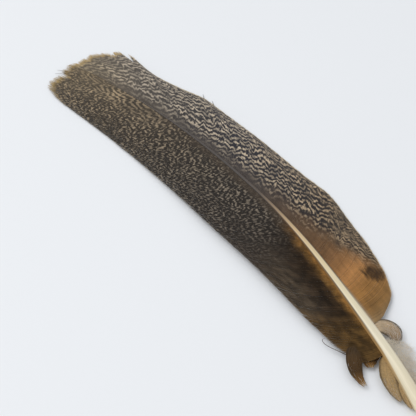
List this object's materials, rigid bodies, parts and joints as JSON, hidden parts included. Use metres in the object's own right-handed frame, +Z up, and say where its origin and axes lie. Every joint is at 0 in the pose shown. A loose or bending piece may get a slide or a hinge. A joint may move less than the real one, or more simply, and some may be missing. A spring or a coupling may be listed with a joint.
{
  "type": "peacock wing quill feather",
  "caption": "Mottled brown wing quill lying flat: pale tapering shaft, two broad vanes of barbs in locks, curled tufts at their base.",
  "frame": {"origin": "middle of the feather's box, on the surface it lies on", "axes": "+X from the quill's end to the feather's tip, +Y towards the darker vane, +Z up, patterned side up"},
  "size_m": [0.3583, 0.0844, 0.0091],
  "materials": {
    "feather": "matte",
    "shaft": "satin"
  },
  "bodies": {
    "root": {"feather": "feather"}
  },
  "joints": []
}
